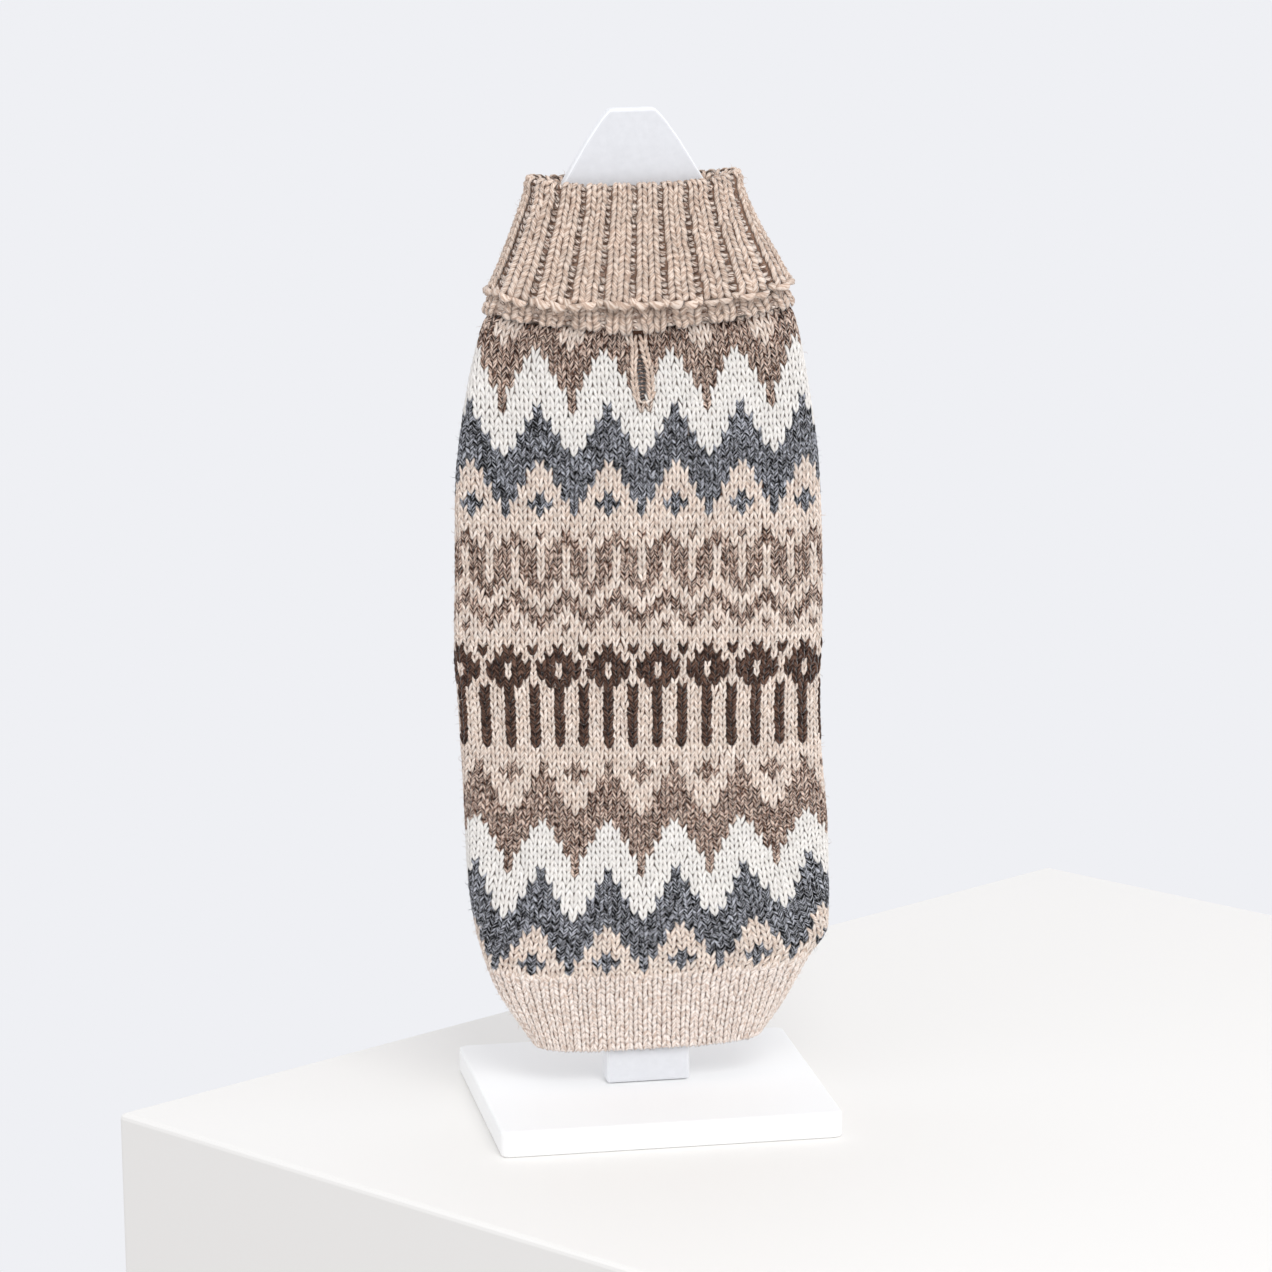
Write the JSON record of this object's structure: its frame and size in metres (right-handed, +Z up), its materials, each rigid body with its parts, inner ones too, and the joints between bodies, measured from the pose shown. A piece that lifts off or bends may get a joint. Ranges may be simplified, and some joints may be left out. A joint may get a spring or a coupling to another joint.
{
  "type": "dog sweater on display stand",
  "caption": "Knitted dog sweater with turned-down ribbed collar, leash slit, leg cuffs and ribbed hem, drawn over a flat display form on a square base.",
  "frame": {"origin": "middle of the underside of the square base", "axes": "+Z up towards the sweater's neck, -Y towards the side where the sweater's back shows"},
  "size_m": [0.1883, 0.162, 0.5025],
  "materials": {
    "jacquard_knit": "stranded wool knit in beige, taupe, ivory, charcoal and brown, slightly hairy",
    "rib_knit": "beige wool rib knit, slightly hairy",
    "white_board": "smooth white board with rounded edges",
    "white_paint": "white satin paint on wood"
  },
  "bodies": {
    "root": {"back_panel": "jacquard_knit", "belly_panel": "jacquard_knit", "hem_rib": "rib_knit", "roll_collar": "rib_knit", "slit_band": "rib_knit", "left_leg_cuff": "rib_knit", "right_leg_cuff": "rib_knit", "display_form": "white_board", "stand_post": "white_paint", "stand_base": "white_paint"}
  },
  "joints": []
}
